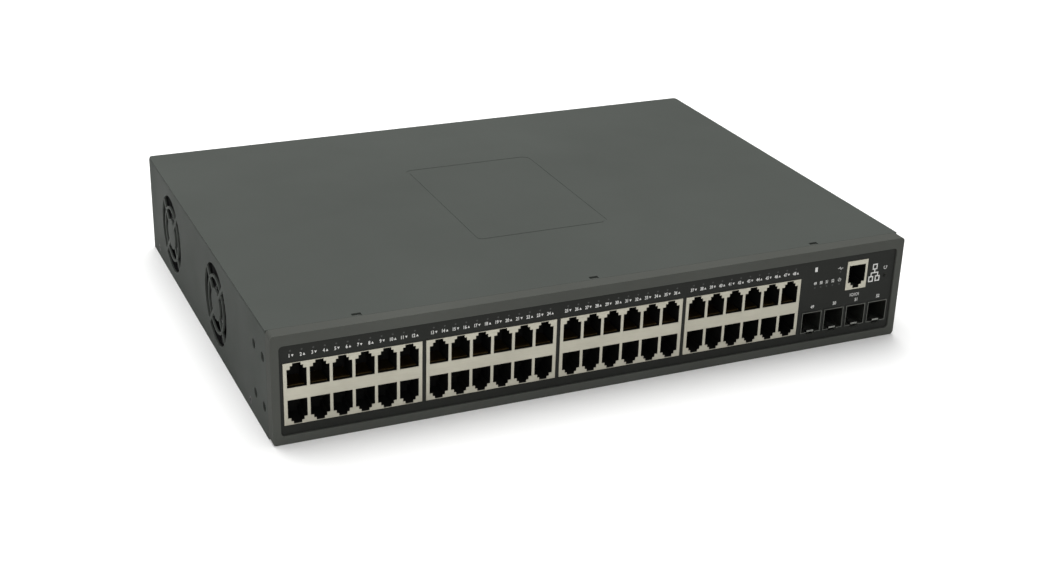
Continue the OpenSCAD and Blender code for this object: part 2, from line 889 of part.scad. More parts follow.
module board_capacitors() {
    color("#5b6f8c")
        in_case() {
            for (i = [0:5])
                translate([60 + i * 14, 190, board_top])
                    cylinder(h = 12, r = 4);
            for (i = [0:3])
                translate([330 + i * 12, 190, board_top])
                    cylinder(h = 9, r = 3.2);
        }
}

// ---- Power supply ----

module power_board() {
    color("#b08a4a")
        in_case()
            translate([0, 0, board_z])
                linear_extrude(board_t)
                    difference() {
                        translate([power_x[0], power_y[0]])
                            square([power_x[1] - power_x[0], power_y[1] - power_y[0]]);
                        board_holes(standoff_power);
                    }
}

module power_transformer() {
    color("#c9b13c")
        in_case()
            translate([326, 266, board_top]) {
                span([-17, 17], [-14, 14], [0, 3]);
                span([-16, 16], [-8, 8], [3, 27]);
                span([-11, 11], [-12.5, 12.5], [5, 25]);
            }
}

module power_capacitors() {
    color("#26262a")
        in_case() {
            translate([394, 262, board_top])
                cylinder(h = 38, r = 12.5);
            for (i = [0:2])
                translate([277, 252 + i * 14, board_top])
                    cylinder(h = 20, r = 5);
        }
}

module power_heatsinks() {
    color("#a2a4a8")
        in_case()
            for (x = [292, 356]) {
                span([x, x + 3], [246, 288], [board_top, board_top + 32]);
                span([x + 2.9, x + 9], [246, 288], [board_top + 29, board_top + 32]);
            }
}

module power_chokes() {
    color("#8e5a2c")
        in_case() {
            for (y = [252, 276])
                translate([420, y, board_top])
                    rotate_extrude()
                        translate([5.5, 4.5])
                            circle(r = 3.5);
            translate([368, 256, board_top])
                span([-4, 4], [-7, 7], [0, 12]);
        }
}

module inlet_outline(w, h, chamfer) {
    polygon([[-w / 2, -h / 2], [w / 2, -h / 2], [w / 2, h / 2 - chamfer], [w / 2 - chamfer, h / 2],
             [chamfer - w / 2, h / 2], [-w / 2, h / 2 - chamfer]]);
}

module power_inlet() {
    color("#1d1d1e")
        in_case()
            translate([inlet_x, 0, inlet_z])
                difference() {
                    union() {
                        upright([rear_face, case_d])
                            soft_pane([-25, 25], [-11.2, 11.2], 3);
                        upright([302, rear_face])
                            inlet_outline(inlet_w, inlet_h, 4);
                    }
                    upright([307, case_d + 1])
                        inlet_outline(inlet_w - 3.4, inlet_h - 3.4, 4);
                    for (p = inlet_blades)
                        inlet_blade(p, [301, 308]);
                    for (side = [-inlet_screw, inlet_screw])
                        translate([side, case_d, 0])
                            rotate([90, 0, 0])
                                countersunk_hole();
                }
}

module inlet_blade(place, y) {
    translate([place[0] - blade[0] / 2, y[0], place[1] - blade[1] / 2])
        cube([blade[0], y[1] - y[0], blade[1]]);
}

module inlet_pins() {
    color("#c8c6bd")
        in_case()
            translate([inlet_x, 0, inlet_z])
                for (p = inlet_blades)
                    inlet_blade(p, [blade_end, 321]);
}

// Flat leads from the inlet's blades down to the power board.
module inlet_harness() {
    color("#7a3b2c")
        in_case()
            for (p = inlet_blades)
                translate([inlet_x + p[0] - 1, 0, 0])
                    rotate([90, 0, 90])
                        linear_extrude(2)
                            polygon([[blade_end, inlet_z + p[1] + 1], [292.5, inlet_z + p[1] + 1],
                                     [292.5, board_top], [294, board_top], [294, inlet_z + p[1] - 1],
                                     [blade_end, inlet_z + p[1] - 1]]);
}

// The ribbon of low-voltage leads from the power board to the main board, with a plug at each end.
module power_harness() {
    color("#d8d2c2")
        in_case() {
            for (y = [218, 240])
                span([303, 327], [y, y + 5.8], [board_top, board_top + 7]);
            span([304, 326], [218.5, 221], [board_top + 7, board_top + 16]);
            span([304, 326], [221, 243], [board_top + 14, board_top + 16]);
            span([304, 326], [243, 245.5], [board_top + 7, board_top + 16]);
        }
}

// ---- Fans ----

// Turns a fan drawn around Z, with its inlet at the bottom, to blow along X from the left wall.
module at_fan(y) {
    in_case()
        translate([fan_left, y, fan_z])
            rotate([0, 90, 0])
                children();
}

module fan_frame(y) {
    color("#1c1c1d")
        at_fan(y)
            difference() {
                union() {
                    difference() {
                        translate([-fan_side / 2, -fan_side / 2, 0])
                            cube([fan_side, fan_side, fan_depth]);
                        translate([0, 0, -1])
                            cylinder(h = fan_depth + 2, r = fan_bore_r);
                    }
                    translate([0, 0, fan_depth - 2.4])
                        cylinder(h = 2, r = 13);
                    translate([0, 0, 4])
                        cylinder(h = fan_depth - 5, r = stator_bore_r);
                    for (a = [45:90:315])
                        rotate([0, 0, a])
                            translate([11, -1.5, fan_depth - 2.2])
                                cube([fan_bore_r - 10, 3, 1.6]);
                }
                translate([0, 0, 2])
                    cylinder(h = fan_depth, r = bearing_r + hairline);
                for (x = [-fan_screw, fan_screw], z = [-fan_screw, fan_screw])
                    translate([x, z, -1])
                        cylinder(h = fan_depth + 2, r = 1.5);
            }
}

// A flat blade, longer and wider than the rotor that it is trimmed to.
module fan_blade() {
    translate([hub_r - hub_shell / 2, 0, (hub[0] + hub[1]) / 2 - hub_shell / 2])
        rotate([blade_tilt, 0, 0])
            translate([0, -blade_chord / 2, -blade_t / 2])
                cube([fan_bore_r - hub_r, blade_chord, blade_t]);
}

module fan_rotor(y) {
    color("#2a2a2b")
        at_fan(y)
            difference() {
                union() {
                    translate([0, 0, hub[0]])
                        cylinder(h = hub[1] - hub[0], r = hub_r);
                    intersection() {
                        for (i = [0:blades - 1])
                            rotate([0, 0, i * 360 / blades])
                                fan_blade();
                        translate([0, 0, hub[0] - 0.4])
                            cylinder(h = hub[1] - hub[0] + 0.4, r = fan_bore_r - blade_tip_gap);
                    }
                }
                translate([0, 0, hub[0] + hub_shell])
                    cylinder(h = hub[1], r = hub_r - hub_shell);
                translate([0, 0, -1])
                    cylinder(h = 5, r = shaft_r);
            }
}

module fan_shaft(y) {
    color("#c4c6c8")
        at_fan(y)
            translate([0, 0, 1])
                cylinder(h = fan_depth - 2, r = shaft_r);
}

module fan_bearings() {
    color("#b58a3a")
        for (y = [fan_front, fan_rear])
            at_fan(y)
                difference() {
                    translate([0, 0, 4.4])
                        cylinder(h = fan_depth - 5, r = bearing_r);
                    cylinder(h = fan_depth + 1, r = shaft_r + running);
                }
}

module fan_stators() {
    color("#9a5a33")
        for (y = [fan_front, fan_rear])
            at_fan(y)
                difference() {
                    union() {
                        translate([0, 0, 5])
                            cylinder(h = 6, r = 6.6);
                        for (a = [0:90:270])
                            rotate([0, 0, a]) {
                                translate([5, -1.8, 5])
                                    cube([4, 3.6, 6]);
                                translate([8.5, -4, 5])
                                    cube([1.4, 8, 6]);
                            }
                    }
                    cylinder(h = fan_depth, r = stator_bore_r + hairline);
                }
}

module fan_bracket() {
    x = fan_left + fan_depth + 0.1;
    ends = [fan_front - fan_side / 2 - 2, fan_rear + fan_side / 2 + 2];
    color("#8b8d8c")
        in_case()
            difference() {
                union() {
                    span([x, x + 1], ends, [sheet, fan_z + fan_side / 2 - 1]);
                    span([x, x + 7], ends, [sheet, sheet + 1]);
                }
                for (y = [fan_front, fan_rear]) {
                    rod_x([x - 1, y, fan_z], 9, fan_bore_r - 0.4);
                    for (dy = [-fan_screw, fan_screw], dz = [-fan_screw, fan_screw])
                        rod_x([x - 1, y + dy, fan_z + dz], 3, 1.6);
                }
            }
}

// ---- Fasteners ----

// A pan-head screw along Z: the head below z = 0, the shank above it, and a cross recess of the given reach.
module pan_screw(r, length, head_r, head_h, drive) {
    slot = 0.6;
    drive_depth = 0.6;
    difference() {
        union() {
            translate([0, 0, -head_h])
                cylinder(h = head_h, r = head_r);
            translate([0, 0, -0.01])
                cylinder(h = length, r = r);
        }
        translate([-drive, -slot / 2, -head_h - 1])
            cube([2 * drive, slot, 1 + drive_depth]);
        translate([-slot / 2, -drive, -head_h - 1])
            cube([slot, 2 * drive, 1 + drive_depth]);
    }
}

module cover_screws() {
    color("#9a9b98")
        in_case()
            for (x = cover_screw_x)
                translate([x, rear_face, cover_screw_z])
                    rotate([90, 0, 0])
                        pan_screw(r = screw_r, length = 6, head_r = 2.6, head_h = 1.4, drive = 1.6);
}

// A countersunk screw along Z, its head flush with z = 0.
module countersunk_screw() {
    difference() {
        union() {
            translate([0, 0, 0.1])
                cylinder(h = 0.9, r1 = csk_head_r - 0.15, r2 = csk_hole_r - 0.1);
            translate([0, 0, 0.2])
                cylinder(h = 5, r = csk_hole_r - 0.1);
        }
        translate([-1.4, -0.25, -1])
            cube([2.8, 0.5, 1.6]);
        translate([-0.25, -1.4, -1])
            cube([0.5, 2.8, 1.6]);
    }
}

module countersunk_screws() {
    color("#3c3d3a")
        in_case() {
            for (y = side_screw_y, turn = [1, -1])
                translate([turn > 0 ? 0 : case_w, y, side_screw_z])
                    rotate([0, 90 * turn, 0])
                        countersunk_screw();
            for (side = [-inlet_screw, inlet_screw])
                translate([inlet_x + side, case_d, inlet_z])
                    rotate([90, 0, 0])
                        countersunk_screw();
        }
}

module standoff(p, z_low, z_high) {
    translate([p[0], p[1], z_low])
        difference() {
            cylinder(h = z_high - z_low, r = 3, $fn = 6);
            translate([0, 0, z_high - z_low - 5])
                cylinder(h = 6, r = screw_r);
        }
}

module board_standoffs() {
    color("#b58a3a")
        in_case() {
            for (p = concat(standoff_main, standoff_power))
                standoff(p, sheet, board_z);
            for (p = standoff_console)
                standoff(p, board_top, console_board_z);
        }
}

module board_screws() {
    color("#b9bbbd")
        in_case()
            for (p = concat(
                     [for (q = concat(standoff_main, standoff_power)) [q[0], q[1], board_top]],
                     [for (q = standoff_console) [q[0], q[1], console_board_z + board_t]]))
                translate(p)
                    rotate([180, 0, 0])
                        pan_screw(r = screw_r, length = 4.5, head_r = 2.7, head_h = 1.6, drive = 1.7);
}

module fan_screws() {
    color("#b9bbbd")
        in_case()
            for (y = [fan_front, fan_rear], dy = [-fan_screw, fan_screw], dz = [-fan_screw, fan_screw])
                translate([fan_left + fan_depth + 1.1, y + dy, fan_z + dz])
                    rotate([0, -90, 0])
                        pan_screw(r = 1.45, length = 9, head_r = 2.7, head_h = 1.6, drive = 1.7);
}

// The earth stud beside the inlet, with its toothed washer.
module ground_screw() {
    color("#c9a64a")
        in_case()
            translate([earth_x, rear_face, inlet_z])
                rotate([90, 0, 0])
                    pan_screw(r = 2, length = 7, head_r = 4, head_h = flange_t, drive = 2.2);
}

base_tray();
top_cover();
front_bezel();
front_overlay();
front_panel();
rear_panel();
jack_housing(0);  // jack_housing_1
jack_housing(1);  // jack_housing_2
jack_housing(2);  // jack_housing_3
jack_housing(3);  // jack_housing_4
jack_shields();
jack_contacts();
console_housing();
console_shield();
sfp_cage(0);  // sfp_cage_1
sfp_cage(1);  // sfp_cage_2
sfp_cage(2);  // sfp_cage_3
sfp_cage(3);  // sfp_cage_4
sfp_latch(0);  // sfp_latch_1
sfp_latch(1);  // sfp_latch_2
sfp_latch(2);  // sfp_latch_3
sfp_latch(3);  // sfp_latch_4
sfp_connectors();
reset_plunger();
reset_switch();
main_board();
console_board();
led_boards();
light_pipes();
board_leds();
switch_chips();
heatsinks();
phy_chips();
memory_chips();
lan_magnetics();
board_capacitors();
power_board();
power_transformer();
power_capacitors();
power_heatsinks();
power_chokes();
power_inlet();
inlet_pins();
inlet_harness();
power_harness();
fan_frame(fan_front);  // fan_frame_1
fan_frame(fan_rear);  // fan_frame_2
fan_rotor(fan_front);  // fan_rotor_1
fan_rotor(fan_rear);  // fan_rotor_2
fan_shaft(fan_front);  // fan_shaft_1
fan_shaft(fan_rear);  // fan_shaft_2
fan_bearings();
fan_stators();
fan_bracket();
cover_screws();
countersunk_screws();
board_standoffs();
board_screws();
fan_screws();
ground_screw();
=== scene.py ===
"""A rack-mount network switch on a pale floor.

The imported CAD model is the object. This script gives each node its surface and softened edges, and adds the
print on the film and the back, the lamps' windows and the liners of the sockets' latch notches.
"""

import json
import math

import bmesh
import bpy
from mathutils import Matrix, Vector


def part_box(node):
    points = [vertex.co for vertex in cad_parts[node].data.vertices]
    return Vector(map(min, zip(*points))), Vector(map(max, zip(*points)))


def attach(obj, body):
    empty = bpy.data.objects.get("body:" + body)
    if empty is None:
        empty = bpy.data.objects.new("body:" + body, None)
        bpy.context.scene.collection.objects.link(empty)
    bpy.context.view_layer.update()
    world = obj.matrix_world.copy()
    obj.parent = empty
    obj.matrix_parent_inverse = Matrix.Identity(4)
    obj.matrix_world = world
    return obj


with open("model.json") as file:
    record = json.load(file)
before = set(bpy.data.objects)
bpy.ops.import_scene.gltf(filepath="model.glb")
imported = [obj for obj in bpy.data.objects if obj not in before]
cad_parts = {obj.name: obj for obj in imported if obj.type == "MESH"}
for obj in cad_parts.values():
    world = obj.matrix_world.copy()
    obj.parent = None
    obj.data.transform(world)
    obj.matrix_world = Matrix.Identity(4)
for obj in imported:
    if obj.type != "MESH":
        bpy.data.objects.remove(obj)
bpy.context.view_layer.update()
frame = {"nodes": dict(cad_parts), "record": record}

MM = 0.001
CASE = "case"                      # the body that does not move

# The front has blocks of sockets in two rows and a number of columns, and a row of SFP slots.
BLOCKS = 4
COLUMNS = 6
PORTS = 2 * COLUMNS * BLOCKS
SFP_SLOTS = 4


# ---- Camera, light and floor ----

# Each lamp's name, place, target, size and power.
LAMPS = (
    ("key", (0, 0.65, 1.9), (0, 0, 0), (2.4, 2.0), 53),
    ("fill", (-0.34, -0.75, 0.42), (-0.18, 0, 0), (0.4, 0.3), 1.25),
)
# The surroundings' strength is To Min where their direction's X is below From Min, and To Max above From Max.
SURROUNDINGS = {"From Min": 0.2, "From Max": 0.7, "To Min": 0.85, "To Max": 0.22}
BACKDROP = 1.05


def look_from(azimuth, elevation, roll, distance, target, lens):
    """A camera that looks at target from an azimuth, where 0 looks along +Y, and an elevation, in degrees."""
    a = math.radians(azimuth)
    e = math.radians(elevation)
    r = math.radians(roll)
    back = Vector((math.sin(a) * math.cos(e), -math.cos(a) * math.cos(e), math.sin(e)))
    level = Vector((math.cos(a), math.sin(a), 0))
    upright = back.cross(level)
    right = level * math.cos(r) + upright * math.sin(r)
    up = upright * math.cos(r) - level * math.sin(r)
    data = bpy.data.cameras.new("camera")
    data.lens = lens
    data.sensor_width = 36
    data.sensor_fit = "HORIZONTAL"
    data.clip_start = 0.01
    data.clip_end = 50
    camera = bpy.data.objects.new("camera", data)
    turned = Matrix((right, up, back)).transposed().to_4x4()
    camera.matrix_world = Matrix.Translation(Vector(target) + back * distance) @ turned
    bpy.context.scene.collection.objects.link(camera)
    bpy.context.scene.camera = camera


def softbox(name, place, target, size, power):
    """A rectangular lamp that points from its place at a target."""
    data = bpy.data.lights.new(name, "AREA")
    data.shape = "RECTANGLE"
    data.size, data.size_y = size
    data.energy = power
    lamp = bpy.data.objects.new(name, data)
    lamp.location = place
    lamp.rotation_euler = (Vector(target) - Vector(place)).to_track_quat("-Z", "Y").to_euler()
    bpy.context.scene.collection.objects.link(lamp)


def studio():
    """White surroundings, dimmer from the sides, an even backdrop for the camera, and the lamps."""
    world = bpy.data.worlds.new("studio")
    world.use_nodes = True
    tree = world.node_tree
    sky = tree.nodes["Background"]
    sky.inputs["Color"].default_value = (1, 1, 1, 1)
    towards = tree.nodes.new("ShaderNodeTexCoord")
    along = tree.nodes.new("ShaderNodeSeparateXYZ")
    sideways = tree.nodes.new("ShaderNodeMath")
    sideways.operation = "ABSOLUTE"
    strength = tree.nodes.new("ShaderNodeMapRange")
    for socket, value in SURROUNDINGS.items():
        strength.inputs[socket].default_value = value
    tree.links.new(towards.outputs["Generated"], along.inputs["Vector"])
    tree.links.new(along.outputs["X"], sideways.inputs[0])
    tree.links.new(sideways.outputs[0], strength.inputs["Value"])
    seen = tree.nodes.new("ShaderNodeLightPath")
    backdrop = tree.nodes.new("ShaderNodeMix")
    backdrop.inputs["B"].default_value = BACKDROP
    tree.links.new(seen.outputs["Is Camera Ray"], backdrop.inputs["Factor"])
    tree.links.new(strength.outputs["Result"], backdrop.inputs["A"])
    tree.links.new(backdrop.outputs["Result"], sky.inputs["Strength"])
    bpy.context.scene.world = world
    for lamp in LAMPS:
        softbox(*lamp)
    bpy.context.scene.view_settings.view_transform = "Standard"


def floor():
    """A wide sheet of matt white paper under the object."""
    side = 8
    shape = bmesh.new()
    bmesh.ops.create_grid(shape, x_segments=1, y_segments=1, size=side / 2)
    mesh = bpy.data.meshes.new("floor")
    shape.to_mesh(mesh)
    shape.free()
    obj = bpy.data.objects.new("floor", mesh)
    bpy.context.scene.collection.objects.link(obj)
    paper = Finish("floor_paper", (0.93, 0.93, 0.925), roughness=0.9)
    paper.shader.inputs["Specular IOR Level"].default_value = 0.1
    paper.bump(paper.noise(900, 3), 0.05, 0.02 * MM)
    mesh.materials.append(paper.material)


# ---- Materials ----

class Finish:
    """A Principled material whose textures lie in object space, in metres, and so keep their real scale."""

    def __init__(self, name, colour, roughness, metallic=0.0):
        self.material = bpy.data.materials.new(name)
        self.material.use_nodes = True
        self.tree = self.material.node_tree
        self.shader = self.tree.nodes["Principled BSDF"]
        self.colour = (*colour, 1)
        self.shader.inputs["Base Color"].default_value = self.colour
        self.shader.inputs["Roughness"].default_value = roughness
        self.shader.inputs["Metallic"].default_value = metallic
        self.place = self.node("ShaderNodeTexCoord").outputs["Object"]
        self.normal = None

    def node(self, kind, **settings):
        made = self.tree.nodes.new(kind)
        for key, value in settings.items():
            setattr(made, key, value)
        return made

    def join(self, source, socket):
        self.tree.links.new(source, socket)

    def stretched(self, scale):
        """The object-space position with each axis scaled, for grain and brush lines."""
        mapping = self.node("ShaderNodeMapping")
        mapping.inputs["Scale"].default_value = scale
        self.join(self.place, mapping.inputs["Vector"])
        return mapping.outputs["Vector"]

    def noise(self, scale, detail=2, roughness=0.5, place=None):
        texture = self.node("ShaderNodeTexNoise")
        texture.inputs["Scale"].default_value = scale
        texture.inputs["Detail"].default_value = detail
        texture.inputs["Roughness"].default_value = roughness
        self.join(place or self.place, texture.inputs["Vector"])
        return texture.outputs["Fac"]

    def spread(self, value, low, high, start=0.3, end=0.7):
        """A texture value between start and end, carried to the range from low to high."""
        mapped = self.node("ShaderNodeMapRange")
        mapped.inputs["From Min"].default_value = start
        mapped.inputs["From Max"].default_value = end
        mapped.inputs["To Min"].default_value = low
        mapped.inputs["To Max"].default_value = high
        self.join(value, mapped.inputs["Value"])
        return mapped.outputs["Result"]

    def times(self, a, b):
        made = self.node("ShaderNodeMath", operation="MULTIPLY")
        self.join(a, made.inputs[0])
        self.join(b, made.inputs[1])
        return made.outputs[0]

    def roughen(self, value):
        self.join(value, self.shader.inputs["Roughness"])

    def tint(self, factor, other):
        """Turns the colour towards another by a texture's factor."""
        mix = self.node("ShaderNodeMix", data_type="RGBA")
        base = self.shader.inputs["Base Color"]
        if base.is_linked:
            self.join(base.links[0].from_socket, mix.inputs["A"])
        else:
            mix.inputs["A"].default_value = self.colour
        mix.inputs["B"].default_value = (*other, 1)
        self.join(factor, mix.inputs["Factor"])
        self.join(mix.outputs["Result"], base)

    def bump(self, height, strength, distance):
        made = self.node("ShaderNodeBump")
        made.inputs["Strength"].default_value = strength
        made.inputs["Distance"].default_value = distance
        self.join(height, made.inputs["Height"])
        if self.normal:
            self.join(self.normal, made.inputs["Normal"])
        self.normal = made.outputs["Normal"]
        self.join(self.normal, self.shader.inputs["Normal"])

    def rounded(self, radius):
        """The surface's normal, as if its edges were rounded."""
        bevel = self.node("ShaderNodeBevel", samples=4)
        bevel.inputs["Radius"].default_value = radius
        return bevel.outputs["Normal"]

    def edges(self, radius):
        """1 on edges and 0 on flat faces, from how far a rounded normal turns away from the true one."""
        true = self.node("ShaderNodeNewGeometry")
        across = self.node("ShaderNodeVectorMath", operation="DOT_PRODUCT")
        self.join(self.rounded(radius), across.inputs[0])
        self.join(true.outputs["Normal"], across.inputs[1])
        return self.spread(across.outputs["Value"], 1, 0, 0.8, 0.98)

    def upward(self, radius):
        """1 where the rounded normal looks up, and 0 where it is level or looks down."""
        parts = self.node("ShaderNodeSeparateXYZ")
        self.join(self.rounded(radius), parts.inputs["Vector"])
        return self.spread(parts.outputs["Z"], 0, 1, 0.1, 0.5)


def scaled(colour, factor):
    """A colour made lighter or darker by a factor."""
    return tuple(channel * factor for channel in colour)


def powder_coat(name, colour):
    """Satin polyester powder coat: a fine orange peel, faint clouds, and paler edges that are partly wear and
    partly a painted highlight.
    """
    coat = Finish(name, colour, 0.5)
    coat.shader.inputs["Specular IOR Level"].default_value = 0.01
    coat.tint(coat.spread(coat.noise(7, 3), 0, 1), scaled(colour, 1.14))
    coat.tint(coat.spread(coat.noise(2600, 2), 0, 0.5, 0.45, 0.75), scaled(colour, 1.3))
    # Paler edges broken up by noise: partly wear, partly a painted highlight along the edges.
    wear_and_edge_highlight = coat.times(coat.edges(0.5 * MM), coat.spread(coat.noise(240, 4), 0.1, 0.75))
    coat.tint(wear_and_edge_highlight, scaled(colour, 1.5))
    coat.roughen(coat.spread(coat.noise(22, 4), 0.44, 0.56))
    coat.bump(coat.noise(1500, 3, 0.6), 0.35, 0.05 * MM)
    return coat.material


def moulded(name, colour, roughness, grain=2200, strength=0.3, specular=0.4):
    """Injection-moulded plastic with a spark-eroded grain, and a painted highlight on edges that face up."""
    plastic = Finish(name, colour, roughness)
    plastic.shader.inputs["Specular IOR Level"].default_value = specular
    plastic.tint(plastic.spread(plastic.noise(11, 3), 0, 1), scaled(colour, 1.15))
    edge = 0.45 * MM
    # Painted highlight: rounded edges that face up are painted lighter, as if lit from above.
    painted_edge_highlight = plastic.times(plastic.edges(edge), plastic.upward(edge))
    plastic.tint(plastic.spread(painted_edge_highlight, 0, 0.8, 0, 1), scaled(colour, 2.1))
    plastic.roughen(plastic.spread(plastic.noise(35, 4), roughness - 0.05, roughness + 0.06))
    plastic.bump(plastic.noise(grain, 3, 0.65), strength, 0.06 * MM)
    return plastic.material


def film(name, colour):
    """Polyester label film: matt hard coat over a near-black print, with a trace of dust."""
    sheet = Finish(name, colour, 0.42)
    sheet.shader.inputs["Specular IOR Level"].default_value = 0.07
    sheet.tint(sheet.spread(sheet.noise(9, 3), 0, 1), scaled(colour, 1.25))
    sheet.tint(sheet.spread(sheet.noise(1400, 2), 0, 0.3, 0.62, 0.8), scaled(colour, 4))
    sheet.roughen(sheet.spread(sheet.noise(30, 5), 0.36, 0.5))
    sheet.bump(sheet.noise(700, 2), 0.12, 0.03 * MM)
    return sheet.material


def plated(name, colour, roughness, grain=(60, 900, 2400), stain=0.8):
    """Plated sheet: rolling lines along X, and a slow cloudy stain."""
    metal = Finish(name, colour, roughness, metallic=1.0)
    metal.tint(metal.spread(metal.noise(45, 4, 0.6), 0, 1), scaled(colour, stain))
    lines = metal.noise(1, 3, 0.6, metal.stretched(grain))
    metal.roughen(metal.spread(lines, roughness - 0.07, roughness + 0.08))
    metal.bump(lines, 0.25, 0.03 * MM)
    metal.bump(metal.noise(1800, 2), 0.15, 0.02 * MM)
    return metal.material


def turned_metal(name, colour, roughness, other):
    """Bright plated fasteners: fine tool marks and a faint passivation tint."""
    metal = Finish(name, colour, roughness, metallic=1.0)
    metal.tint(metal.spread(metal.noise(260, 3), 0, 1), other)
    metal.roughen(metal.spread(metal.noise(900, 3), roughness - 0.06, roughness + 0.1))
    metal.bump(metal.noise(2600, 2), 0.2, 0.02 * MM)
    return metal.material


def circuit_board(name, colour, trace):
    """Solder mask over a net of copper traces."""
    board = Finish(name, colour, 0.32)
    board.shader.inputs["Coat Weight"].default_value = 0.3
    board.shader.inputs["Coat Roughness"].default_value = 0.15
    runs = board.node("ShaderNodeTexVoronoi", feature="DISTANCE_TO_EDGE", distance="MANHATTAN")
    runs.inputs["Scale"].default_value = 160
    board.join(board.place, runs.inputs["Vector"])
    copper = board.spread(runs.outputs["Distance"], 1, 0, 0.05, 0.09)
    board.tint(copper, trace)
    board.tint(board.spread(board.noise(14, 3), 0, 1), scaled(colour, 1.35))
    board.bump(copper, 0.3, 0.04 * MM)
    board.bump(board.noise(1800, 2), 0.1, 0.02 * MM)
    return board.material


def sleeve(name, colour):
    """Shrink sleeve or tape: glossy film with small wrinkles."""
    film_wrap = Finish(name, colour, 0.25)
    film_wrap.tint(film_wrap.spread(film_wrap.noise(60, 3), 0, 1), scaled(colour, 1.3))
    film_wrap.roughen(film_wrap.spread(film_wrap.noise(120, 3), 0.18, 0.34))
    film_wrap.bump(film_wrap.noise(300, 4), 0.3, 0.1 * MM)
    return film_wrap.material


def clear_plastic(name, colour):
    """Clear moulded plastic of a lens or a light pipe, a little cloudy."""
    lens = Finish(name, colour, 0.22)
    lens.shader.inputs["Transmission Weight"].default_value = 0.55
    lens.shader.inputs["IOR"].default_value = 1.49
    lens.tint(lens.spread(lens.noise(130, 2), 0, 1), scaled(colour, 0.88))
    lens.bump(lens.noise(900, 2), 0.12, 0.02 * MM)
    return lens.material


def ink(name, colour):
    """Screen-printed ink: a slightly mottled matt layer."""
    print_ink = Finish(name, colour, 0.6)
    print_ink.tint(print_ink.spread(print_ink.noise(1600, 3), 0, 1), scaled(colour, 0.82))
    print_ink.bump(print_ink.noise(3000, 2), 0.2, 0.01 * MM)
    return print_ink.material


def insulation(name, colour):
    """The soft jacket of a lead."""
    jacket = Finish(name, colour, 0.5)
    jacket.tint(jacket.spread(jacket.noise(90, 3), 0, 1), scaled(colour, 1.25))
    jacket.bump(jacket.noise(700, 3), 0.25, 0.04 * MM)
    return jacket.material


FINISHES = {
    "case_steel": powder_coat("powder_coat", (0.0565, 0.0617, 0.0562)),
    "bezel_plastic": moulded("bezel_plastic", (0.0625, 0.0652, 0.0588), 0.5, specular=0.01),
    "overlay_film": film("overlay_film", (0.0155, 0.0163, 0.0146)),
    "inner_steel": plated("zinc_sheet", (0.42, 0.43, 0.42), 0.42),
    "jack_plastic": moulded("jack_plastic", (0.003, 0.003, 0.0028), 0.65, specular=0.15),
    "jack_shield": plated("nickel_sheet", (0.45, 0.434, 0.362), 0.46, stain=0.88),
    "contact_gold": plated("gold_contacts", (0.21, 0.14, 0.052), 0.36, grain=(900, 60, 900)),
    "cage_steel": plated("cage_sheet", (0.16, 0.165, 0.15), 0.45),
    "latch_steel": plated("latch_spring", (0.26, 0.265, 0.245), 0.42),
    "board_green": circuit_board("solder_mask", (0.012, 0.075, 0.03), (0.03, 0.16, 0.06)),
    "power_board_tan": circuit_board("paper_board", (0.33, 0.2, 0.075), (0.42, 0.26, 0.1)),
    "chip_black": moulded("chip_epoxy", (0.014, 0.014, 0.015), 0.55, grain=3000),
    "heatsink": plated("extruded_fins", (0.5, 0.51, 0.53), 0.4, grain=(900, 40, 900)),
    "capacitor_blue": sleeve("capacitor_blue", (0.03, 0.07, 0.17)),
    "capacitor_black": sleeve("capacitor_black", (0.014, 0.014, 0.018)),
    "transformer_tape": sleeve("transformer_tape", (0.62, 0.47, 0.04)),
    "copper": turned_metal("enamelled_copper", (0.6, 0.25, 0.1), 0.3, (0.5, 0.17, 0.06)),
    "light_pipe": clear_plastic("light_pipe", (0.8, 0.84, 0.8)),
    "lamp_white": clear_plastic("lamp_lens", (0.82, 0.83, 0.72)),
    "switch_white": moulded("switch_white", (0.68, 0.66, 0.6), 0.45),
    "inlet_black": moulded("inlet_black", (0.011, 0.011, 0.012), 0.34, strength=0.15),
    "blade": turned_metal("inlet_blade", (0.66, 0.64, 0.58), 0.3, (0.56, 0.53, 0.45)),
    "lead_red": insulation("lead_red", (0.25, 0.03, 0.02)),
    "lead_grey": insulation("lead_grey", (0.5, 0.46, 0.38)),
    "fan_plastic": moulded("fan_plastic", (0.0035, 0.0035, 0.0036), 0.5, grain=1500, specular=0.25),
    "shaft_steel": turned_metal("shaft_steel", (0.6, 0.6, 0.6), 0.22, (0.5, 0.5, 0.51)),
    "brass": turned_metal("brass", (0.56, 0.38, 0.12), 0.3, (0.46, 0.29, 0.08)),
    "zinc_screw": turned_metal("zinc_screw", (0.5, 0.51, 0.5), 0.3, (0.5, 0.47, 0.38)),
    "black_screw": turned_metal("black_zinc", (0.022, 0.023, 0.022), 0.45, (0.034, 0.034, 0.03)),
}
for part in frame["record"]["subparts"]:
    for place in frame["nodes"][part["node"]].material_slots:
        place.material = FINISHES[part["material_slot"]]


# ---- Softened edges on the CAD nodes ----

def soften(names, width, segments=2, angle=35):
    """Rounds the sharp edges of CAD nodes by modifiers, to a width in millimetres. Their meshes stay."""
    for name in names:
        obj = frame["nodes"][name]
        weld = obj.modifiers.new("weld", "WELD")
        weld.merge_threshold = 0.001 * MM
        flat = obj.modifiers.new("flat", "DECIMATE")
        flat.decimate_type = "DISSOLVE"
        flat.angle_limit = math.radians(0.5)
        bevel = obj.modifiers.new("bevel", "BEVEL")
        bevel.width = width * MM
        bevel.segments = segments
        bevel.limit_method = "ANGLE"
        bevel.angle_limit = math.radians(angle)
        bevel.use_clamp_overlap = True
        obj.modifiers.new("normals", "WEIGHTED_NORMAL").keep_sharp = True


